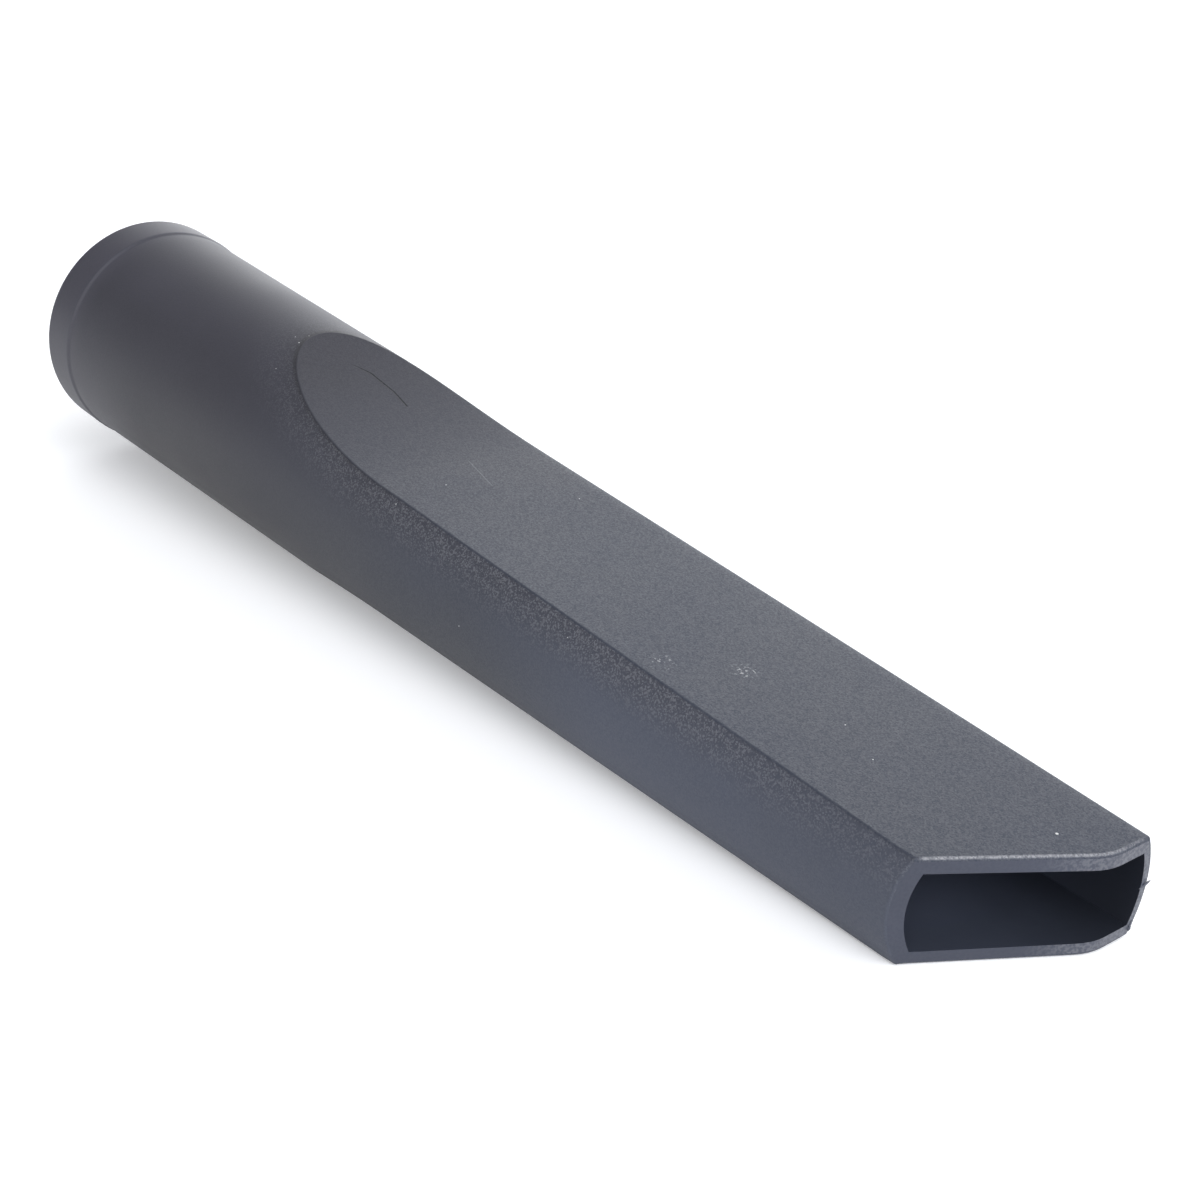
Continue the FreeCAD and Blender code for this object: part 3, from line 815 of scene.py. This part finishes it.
# Sizes of the slow and fine changes in a finish
BLOTCH, SMOOTH_BLOTCH, SMOOTH_WAVES = 26 * MM, 18 * MM, 2.5 * MM
SCUFF_FIBRE, RIM_FLECK = 0.42 * MM, 0.4 * MM
SMOOTH_BUMP = {"Strength": 0.1, "Distance": 0.2 * MM}

# Bands, as NodeSheet.band takes them: from, to, and the levels there where they aren't 0 and 1.
# They lie along the tool, across it or up it, or count from the long edges or the mouth.
NOISE = (0.3, 0.7)                                      # the range of most of a noise
LINE_BEGIN, LINE_END = (0.0, 0.2), (0.97, 1.0, 1.0, 0.0)    # shares of a line's length where it fades
SCUFF_PEAKS = (0.56, 0.7)                               # the part of the fibre that is scuffed
UPPER_FLAT = (5 * MM, 7 * MM)                           # up: from the sides to the upper flat
GLINT_EDGE = (0.08 * MM, 0.25 * MM)                       # from the long edges: painted glints begin below them
GLINT_FADE = (0.5 * MM, 7 * MM, 0.75, 0.0)                # from the long edges: and fade down the side
GLINT_HEEL = (45 * MM, 110 * MM, 0.2, 1.0)                # along: they are slight round the heel of the flats
GLINT_MOUTH = (160 * MM, 210 * MM, 1.0, 0.4)              # along: and weaker again near the mouth
GLINT_UPPER = (-2 * MM, 3 * MM)                           # up: they are on the upper half only
GLINT_TOPS = (0.4, 1.0)                                   # the flecks that are the grain's tops
HIGHLIT_WEAR_FRONT = (0.02 * MM, 0.2 * MM)                      # from the mouth: the edge's abrasion and painted highlight begin
HIGHLIT_WEAR_BACK = (0.33 * MM, 0.62 * MM, 1.0, 0.0)            # from the mouth: and end
HIGHLIT_WEAR_FAR = (4 * MM, 13 * MM, 1.0, 0.4)                  # across: they weaken towards the far side
HIGHLIT_WEAR_FLAT = (-1.5 * MM, -0.3 * MM, 1.0, 0.0)            # from the long edges: they are on the flats only
CREASE_EDGE = (0.03 * MM, 0.12 * MM)                    # from the long edges: painted shade begins below them
CREASE_LINE = (0.25 * MM, 0.6 * MM, 0.65, 0.0)          # from the long edges: its dark line
CREASE_SOFT = (0.3 * MM, 2.5 * MM, 0.35, 0.0)           # from the long edges: its soft side
CREASE_HEEL = (85 * MM, 120 * MM, 1.0, 0.3)             # along: it is strongest round the heel
TONE_UNDER = (8 * MM, 36 * MM, 1.25, 0.45)              # along: painted light at the collar, painted shade on the tube's underside beyond
TONE_OVER = (7 * MM, 13 * MM, 1.35, 1.05)               # along: painted light at the collar and on the tube's upper side
TONE_TOP = (12 * MM, 18 * MM, 0.0, 0.3)                 # up: more painted light added to that at the top
TONE_RISE = (-15 * MM, 14 * MM)                         # up: from the underside's painted shade to the upper side's painted light
TONE_MOUTH = (122 * MM, 160 * MM)                       # along: from the tube's painted light and shade to the painted light at the mouth
TONE_SIDE = (0.0, 0.4 * MM)                             # from the long edges: the flats get no painted light and shade
# painted light on the sides near the mouth
MOUTH_TONE = 1.24
WARMTH = (45 * MM, 140 * MM, 1.0, 0.0)                  # along: from the cuff's colour to the mouth's
SPARKLE = (-0.3 * MM, 0.3 * MM, 0.037, 0.012)           # from the long edges: painted glints, as lighter and darker flecks on flats and sides
SPARKLE_HEEL = (70 * MM, 115 * MM, 0.4, 1.0)            # along: they are weaker towards the heel
COLLAR = (7 * MM, 12 * MM)                              # along: from the collar to the tube
RIM_PAINTED_LIGHT = (215.5 * MM, 219.5 * MM, 0.015, 0.16)        # along: painted light on the rim, up to the tip
RIM_FLECKS = (0.35, 0.65, 0.3, 1.7)                     # how the flecks vary that
BORE_WALLS = (-8 * MM, 14 * MM)                         # across: painted shade, lighter on the bore's near wall and darker on its far wall
BORE_FRONT = (1 * MM, 24 * MM)                          # from the mouth: where the bore's painted shade turns to painted light
BORE_DEEP = (30 * MM, 70 * MM, 1.0, 0.0)                # from the mouth: and where that painted light and shade end


def line_mask(sheet, along, across, points, width):
    """Mask of a fine line on the upper flat, drawn through points in plan."""
    first, last = points[0][0], points[-1][0]
    low = min(y for _, y in points) - LINE_SPARE
    reach = max(y for _, y in points) + LINE_SPARE - low
    part = (along - first * MM) / ((last - first) * MM)
    stops = [((x - first) / (last - first), (y - low) / reach) for x, y in points]
    middle = sheet.course(part, stops) * (reach * MM) + low * MM
    ends = sheet.band(part, *LINE_BEGIN) * sheet.band(part, *LINE_END)
    return sheet.band(abs(across - middle), LINE_CORE * width * MM, width * MM, 1.0, 0.0) * ends


def spot_mask(sheet, place, spot, core, level):
    """Mask of a round spot with a soft border."""
    x, y, z, size = spot
    away = sheet.vector_math("DISTANCE", place, (x * MM, y * MM, z * MM), 1)
    return sheet.band(away, core * size * MM, size * MM, level, 0.0)


def mark_masks(sheet, place):
    """Masks of the pale marks and of the dark weld line."""
    along, across, up = (sheet.axis(place, name) for name in "XYZ")
    on_top = sheet.band(up, *UPPER_FLAT)
    pale = line_mask(sheet, along, across, SCRATCH, SCRATCH_WIDTH) * on_top * SCRATCH_LEVEL
    for spot in SPECKS:
        pale = pale.most(spot_mask(sheet, place, spot, SPECK_CORE, SPECK_LEVEL))
    fibre = sheet.band(sheet.noise(place, SCUFF_FIBRE, 1.0), *SCUFF_PEAKS)
    for spot in SCUFFS:
        pale = pale.most(spot_mask(sheet, place, spot, SCUFF_CORE, SCUFF_LEVEL) * fibre)
    return pale, line_mask(sheet, along, across, WELD_LINE, WELD_WIDTH) * on_top


def glint_and_edge_masks(sheet, place):
    """Where glints are painted on the grain below the upper long edges, and where the mouth's upper and
    lower edge is painted paler, partly as abrasion and partly as a painted highlight.
    """
    along, across, up = (sheet.axis(place, name) for name in "XYZ")
    ridge = sheet.attribute("ridge_gap")
    mouth = sheet.attribute("mouth_gap")
    below = sheet.band(ridge, *GLINT_EDGE) * sheet.band(ridge, *GLINT_FADE)
    below = below * sheet.band(along, *GLINT_HEEL) * sheet.band(along, *GLINT_MOUTH)
    below = below * sheet.band(up, *GLINT_UPPER)
    front = sheet.band(mouth, *HIGHLIT_WEAR_BACK) * sheet.band(mouth, *HIGHLIT_WEAR_FRONT)
    return below, front * sheet.band(across, *HIGHLIT_WEAR_FAR) * sheet.band(ridge, *HIGHLIT_WEAR_FLAT)


def crease_shade_mask(sheet, along):
    """Painted shade on the tube along the flats, strongest round their heel: a dark line with a soft side.
    """
    ridge = sheet.attribute("ridge_gap")
    line = sheet.band(ridge, *CREASE_LINE) + sheet.band(ridge, *CREASE_SOFT)
    return line * sheet.band(ridge, *CREASE_EDGE) * sheet.band(along, *CREASE_HEEL)


def side_tone(sheet, along, up):
    """Painted light and shade on the tube and its sides.

    They are painted paler at the collar, on top and near the mouth, and painted darker low down on the
    tube.
    """
    under = sheet.band(along, *TONE_UNDER)
    over = sheet.band(along, *TONE_OVER) + sheet.band(up, *TONE_TOP)
    tube = under + (over - under) * sheet.band(up, *TONE_RISE)
    tone = tube + (MOUTH_TONE - tube) * sheet.band(along, *TONE_MOUTH)
    return 1 + (tone - 1) * sheet.band(sheet.attribute("ridge_gap"), *TONE_SIDE)


def grained_plastic(look):
    """Charcoal plastic with a fine spark-eroded grain, painted glints, painted light and shade, a mouth
    edge painted paler as abrasion and as a painted highlight, dust, scuffs and a weld line.
    """
    material, sheet = new_material("charcoal_plastic_grained")
    place = sheet.attribute("tool_place", "Vector")
    along = sheet.axis(place, "X")
    grain = sheet.noise(place, look.grain, 1.0)
    flecks = sheet.node("ShaderNodeTexVoronoi", {}, {"Vector": place, "Scale": 1 / look.fleck}, "Color")
    fleck = sheet.axis(flecks, "X")
    blotch = sheet.noise(place, BLOTCH, 3.0, 0.55)
    pale, weld = mark_masks(sheet, place)
    glinting, worn_and_highlit = glint_and_edge_masks(sheet, place)
    crease_shade = crease_shade_mask(sheet, along)

    # painted glints: lighter and darker flecks on the flats and sides, weaker towards the heel
    sparkle = sheet.band(sheet.attribute("ridge_gap"), *SPARKLE)
    sparkle = sparkle * sheet.band(along, *SPARKLE_HEEL) * (fleck - 0.5)
    # painted light and shade on the tube and its sides and painted shade along the flats, with random
    # blotches and the weld line
    tone = sheet.band(blotch, *NOISE, 0.93, 1.07) * (1 - WELD_DARKNESS * weld)
    tone = tone * (1 - CREASE_SHADE * crease_shade) * side_tone(sheet, along, sheet.axis(place, "Z"))
    base = sheet.mix(sheet.band(along, *WARMTH), opaque(look.plastic), opaque(look.cuff))
    base = sheet.vector_math("ADD", sheet.scaled(base, tone), sheet.scaled((1, 1, 1), sparkle))
    # painted glints below the upper long edges
    base = sheet.mix(GLINT_DULLNESS * glinting, base, opaque(look.cuff))
    tops = glinting * sheet.band(fleck, *GLINT_TOPS)
    base = sheet.vector_math("ADD", base, sheet.scaled(look.glinting, tops))
    # the mouth's edge painted paler: partly abrasion, partly a painted highlight
    base = sheet.mix(worn_and_highlit * (EVEN_HIGHLIT_WEAR + (1 - EVEN_HIGHLIT_WEAR) * fleck), base, opaque(look.worn_and_highlit))
    base = sheet.mix(pale, base, opaque(look.dust))
    rough = sheet.band(along, *COLLAR, look.collar_roughness, look.roughness) + WELD_ROUGHNESS * weld
    rough = rough + sheet.band(blotch, *NOISE, -0.03, 0.03) - SPARKLE_GLOSS * sparkle
    height = grain - WELD_DEPTH * weld
    bump = sheet.node(
        "ShaderNodeBump", {}, {"Strength": 1.0, "Distance": look.grain_depth, "Height": height})
    surface = sheet.node(
        "ShaderNodeBsdfPrincipled", {}, {"Base Color": base, "Roughness": rough, "Normal": bump})
    sheet.node("ShaderNodeOutputMaterial", {}, {"Surface": surface})
    return material


def smooth_plastic(name, rgb, roughness, gloss, worn_and_highlit=None, painted_far_shade=1.0, painted_depth_shades=(1.0, 1.0)):
    """The same plastic without grain: the mouth's cut rim, the collar's end face and the bore.

    The rim is finely flecked, and painted paler at the tip as painted light on its blunt end. The bore is
    painted lighter on its near wall and darker on its far wall, and darker near the mouth and lighter
    further in, as painted shade and light that fade out deep inside.
    """
    material, sheet = new_material(name)
    place = sheet.attribute("tool_place", "Vector")
    waves = sheet.noise(place, SMOOTH_WAVES, 3.0)
    blotch = sheet.noise(place, SMOOTH_BLOTCH)
    depth = sheet.attribute("mouth_gap")
    # painted shade on the bore's far wall, and painted shade turning to painted light from the mouth
    # inwards
    shade = sheet.band(sheet.axis(place, "Y"), *BORE_WALLS, 2 - painted_far_shade, painted_far_shade)
    shade = shade * sheet.band(depth, *BORE_FRONT, *painted_depth_shades)
    shade = 1 + (shade - 1) * sheet.band(depth, *BORE_DEEP)
    base = sheet.scaled(rgb, sheet.band(blotch, *NOISE, 0.92, 1.08) * shade)
    if worn_and_highlit:
        # painted light on the rim's blunt tip
        fleck = sheet.noise(place, RIM_FLECK, 1.0)
        tip_light = sheet.band(sheet.axis(place, "X"), *RIM_PAINTED_LIGHT) * sheet.band(fleck, *RIM_FLECKS)
        base = sheet.mix(tip_light, base, opaque(worn_and_highlit))
    rough = roughness + sheet.band(waves, *NOISE, -0.03, 0.05)
    bump = sheet.node("ShaderNodeBump", {}, {**SMOOTH_BUMP, "Height": waves})
    surface = sheet.node(
        "ShaderNodeBsdfPrincipled", {},
        {"Base Color": base, "Roughness": rough, "Normal": bump, "Specular IOR Level": gloss})
    sheet.node("ShaderNodeOutputMaterial", {}, {"Surface": surface})
    return material


FIT = 0.1 * MM      # most that the drawn nozzle may differ from the solid in size


class NOZZLE_OT_moulding(bpy.types.Operator):
    """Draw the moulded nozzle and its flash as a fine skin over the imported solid"""
    bl_idname = "nozzle.moulding"
    bl_label = "Nozzle moulding"

    def execute(self, context):
        sizes, look = context.scene.nozzle_sizes, context.scene.nozzle_plastic
        lie = resting_turn(sizes)
        mesh = nozzle_mesh(sizes, lie)
        low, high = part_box(NODE)
        corners = np.array([v.co for v in mesh.vertices])
        drawn_low, drawn_high = Vector(corners.min(0)), Vector(corners.max(0))
        shift = (low + high - drawn_low - drawn_high) / 2
        shift.z = low.z - drawn_low.z
        mesh.transform(Matrix.Translation(shift))
        difference = max(abs(a - b) for a, b in zip(high - low, drawn_high - drawn_low))
        if difference > FIT:
            raise RuntimeError(f"the drawn nozzle differs from the solid by {difference / MM:.3f} mm")
        nozzle = bpy.data.objects.new("nozzle_moulding", mesh)
        context.scene.collection.objects.link(nozzle)
        # the rim's blunt tip gets painted light
        rim = smooth_plastic(
            "charcoal_plastic_rim", look.rim, look.rim_roughness, gloss=0.5, worn_and_highlit=look.worn_and_highlit)
        grained = grained_plastic(look)
        # the bore gets painted shade on its far wall and near the mouth, and painted light further in
        bore = smooth_plastic(
            "charcoal_plastic_bore", look.bore, look.bore_roughness, gloss=0.12,
            painted_far_shade=0.55, painted_depth_shades=(0.75, 3.2))
        for finish in (grained, rim, bore):
            mesh.materials.append(finish)
        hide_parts(NODE)

        slivers = flash_mesh(Matrix.Translation(shift) @ lie)
        slivers.materials.append(rim)
        flash = bpy.data.objects.new("nozzle_flash", slivers)
        context.scene.collection.objects.link(flash)
        for piece in (nozzle, flash):
            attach(piece, BODY)
        return {"FINISHED"}


# Soft boxes round the tool, and its dark side:
# azimuth, elevation, inner and outer half width in degrees, and strength
SOFT_BOXES = ((329, 45, 0, 56, 2.0), (127, 10, 0, 45, 3.0), (352, 59, 0, 34, 2.6))
DARK_SIDE = (203, 21, 20, 44, 1.0)
SKY_FADE = (15, 75)         # degrees of elevation from the horizon's light to the zenith's
FLOOR_REACH = 2.5           # metres from the floor's middle to its sides
CAMERA_PLACE = (0.2283460, -0.1771392, 0.1360113)       # metres
CAMERA_TURN = (66.12197, -3.10387, 50.35694)            # degrees


def towards(azimuth, elevation):
    """Unit vector from the tool to a place in its surroundings, given in degrees."""
    turn, rise = math.radians(azimuth), math.radians(elevation)
    return (math.cos(rise) * math.cos(turn), math.cos(rise) * math.sin(turn), math.sin(rise))


def surroundings(studio):
    """White studio: bright near the horizon, darker above, with soft boxes and one dark side."""
    world = bpy.data.worlds.new("studio_surroundings")
    world.use_nodes = True
    sky = NodeSheet(world.node_tree)
    sight = sky.node("ShaderNodeTexCoord", {}, {}, "Generated")

    def soft(azimuth, elevation, inner, outer, level):
        cosine = sky.vector_math("DOT_PRODUCT", sight, towards(azimuth, elevation), 1)
        away = cosine.math("ARCCOSINE", cosine)
        return sky.band(away, math.radians(inner), math.radians(outer), level, 0.0)

    front, back, key = (soft(*box) for box in SOFT_BOXES)
    rise = sky.axis(sight, "Z")
    low, high = (math.radians(degrees) for degrees in SKY_FADE)
    level = sky.band(rise.math("ARCSINE", rise), low, high, studio.horizon, studio.zenith)
    level = level + front + back
    shade = sky.mix(soft(*DARK_SIDE), opaque(studio.light), opaque(studio.gap))
    light = sky.scaled(shade, level)
    light = sky.vector_math("ADD", light, sky.scaled((1, 1, 1), key))
    surface = sky.node("ShaderNodeBackground", {}, {"Color": light, "Strength": 1.0})
    sky.node("ShaderNodeOutputWorld", {}, {"Surface": surface})
    return world


def studio_white(studio):
    """Pale floor, lifted to white where it is seen or mirrored, so that only the shadow shows."""
    material, sheet = new_material("studio_white")
    rays = [sheet.node("ShaderNodeLightPath", {}, {}, name)
            for name in ("Is Camera Ray", "Is Glossy Ray", "Is Transmission Ray")]
    lift = rays[0].most(rays[1]).most(rays[2]) * studio.floor_lift
    surface = sheet.node("ShaderNodeBsdfPrincipled", {}, {
        "Base Color": opaque(studio.floor), "Roughness": 0.9, "Specular IOR Level": 0.0,
        "Emission Color": lift, "Emission Strength": 1.0})
    sheet.node("ShaderNodeOutputMaterial", {}, {"Surface": surface})
    return material


class NOZZLE_OT_studio(bpy.types.Operator):
    """Set up the white floor, the soft light and the camera"""
    bl_idname = "nozzle.studio"
    bl_label = "Studio"

    def execute(self, context):
        scene, studio = context.scene, context.scene.nozzle_studio

        mesh = bpy.data.meshes.new("studio_floor")
        corners = [(x * FLOOR_REACH, y * FLOOR_REACH, 0) for x, y in ((-1, -1), (1, -1), (1, 1), (-1, 1))]
        mesh.from_pydata(corners, [], [(0, 1, 2, 3)])
        mesh.materials.append(studio_white(studio))
        floor = bpy.data.objects.new("studio_floor", mesh)
        scene.collection.objects.link(floor)
        scene.world = surroundings(studio)

        camera = bpy.data.objects.new("studio_camera", bpy.data.cameras.new("studio_camera"))
        camera.location = CAMERA_PLACE
        camera.rotation_euler = Euler([math.radians(turn) for turn in CAMERA_TURN])
        camera.data.sensor_width = 36.0
        camera.data.lens = studio.focal_length
        camera.data.clip_start = 0.01
        camera.data.dof.use_dof = False
        scene.collection.objects.link(camera)
        scene.camera = camera
        scene.view_settings.view_transform = "Standard"
        return {"FINISHED"}


class NOZZLE_PT_panel(bpy.types.Panel):
    """Lists the nozzle's pieces, sizes and finish"""
    bl_idname = "NOZZLE_PT_panel"
    bl_label = "Crevice nozzle"
    bl_space_type = "VIEW_3D"
    bl_region_type = "UI"
    bl_category = "Nozzle"

    def draw(self, context):
        for operator in OPERATORS:
            self.layout.operator(operator.bl_idname)
        for group in ("nozzle_sizes", "nozzle_plastic", "nozzle_studio"):
            column = self.layout.column(align=True)
            settings = getattr(context.scene, group)
            for name in settings.__annotations__:
                column.prop(settings, name)


OPERATORS = (NOZZLE_OT_moulding, NOZZLE_OT_studio)
CLASSES = (NozzleSizes, PlasticLook, StudioLook, *OPERATORS, NOZZLE_PT_panel)


def register():
    for item in CLASSES:
        bpy.utils.register_class(item)
    bpy.types.Scene.nozzle_sizes = bpy.props.PointerProperty(type=NozzleSizes)
    bpy.types.Scene.nozzle_plastic = bpy.props.PointerProperty(type=PlasticLook)
    bpy.types.Scene.nozzle_studio = bpy.props.PointerProperty(type=StudioLook)


def unregister():
    for group in ("nozzle_sizes", "nozzle_plastic", "nozzle_studio"):
        delattr(bpy.types.Scene, group)
    for item in reversed(CLASSES):
        bpy.utils.unregister_class(item)


def main():
    register()
    bpy.ops.nozzle.moulding()
    bpy.ops.nozzle.studio()
    bpy.context.view_layer.update()


if __name__ == "__main__":
    main()
